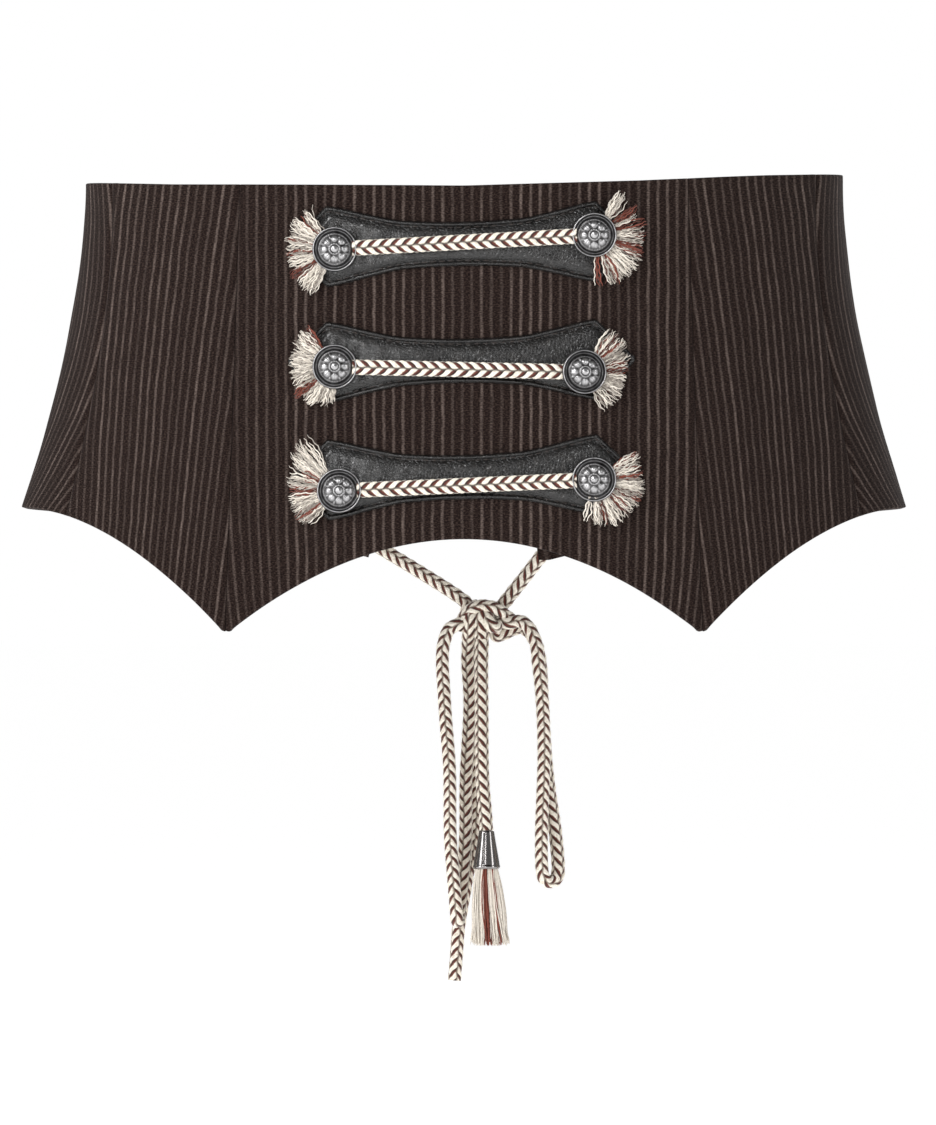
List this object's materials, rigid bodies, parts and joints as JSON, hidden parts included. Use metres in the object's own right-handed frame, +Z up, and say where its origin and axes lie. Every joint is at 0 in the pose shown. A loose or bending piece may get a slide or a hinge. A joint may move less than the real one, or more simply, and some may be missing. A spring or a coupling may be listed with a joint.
{
  "type": "laced corset belt",
  "caption": "Waist belt of seven pinstriped cloth panels with a pointed front hem, frogged leather straps with metal buttons, and a laced back tied in a hanging cord bow.",
  "frame": {"origin": "the middle of the waist opening, level with the top edge, where the wearer's waist holds the belt", "axes": "+Z up, the front faces -Y, +X to the right as seen from the front"},
  "size_m": [0.3154, 0.2176, 0.2897],
  "materials": {
    "striped_cloth": "matt woven pinstripe",
    "black_leather": "soft satin, stitched edge",
    "braid": "braided cotton, cream with rust flecks",
    "button_metal": "antique dark pewter",
    "eyelet_metal": "dark nickel",
    "cord": "round braided cotton, cream with maroon flecks",
    "bell_metal": "polished dark nickel",
    "tassel": "loose cotton yarn, cream with rust"
  },
  "bodies": {
    "root": {"centre_front_panel": "striped_cloth", "front_side_panel_left": "striped_cloth", "front_side_panel_right": "striped_cloth", "side_panel_left": "striped_cloth", "side_panel_right": "striped_cloth", "back_panel_left": "striped_cloth", "back_panel_right": "striped_cloth", "strap_top": "black_leather", "strap_middle": "black_leather", "strap_bottom": "black_leather", "braid_top": "braid", "braid_middle": "braid", "braid_bottom": "braid", "frayed_end_top_left": "braid", "frayed_end_top_right": "braid", "frayed_end_middle_left": "braid", "frayed_end_middle_right": "braid", "frayed_end_bottom_left": "braid", "frayed_end_bottom_right": "braid", "button_top_left": "button_metal", "button_top_right": "button_metal", "button_middle_left": "button_metal", "button_middle_right": "button_metal", "button_bottom_left": "button_metal", "button_bottom_right": "button_metal", "eyelet_left_1": "eyelet_metal", "eyelet_left_2": "eyelet_metal", "eyelet_left_3": "eyelet_metal", "eyelet_left_4": "eyelet_metal", "eyelet_left_5": "eyelet_metal", "eyelet_right_1": "eyelet_metal", "eyelet_right_2": "eyelet_metal", "eyelet_right_3": "eyelet_metal", "eyelet_right_4": "eyelet_metal", "eyelet_right_5": "eyelet_metal", "lace_left": "cord", "lace_right": "cord", "loop_left": "cord", "loop_right": "cord", "tail_left": "cord", "tail_right": "cord", "bow_knot": "cord", "bell": "bell_metal", "tassel": "tassel"}
  },
  "joints": []
}
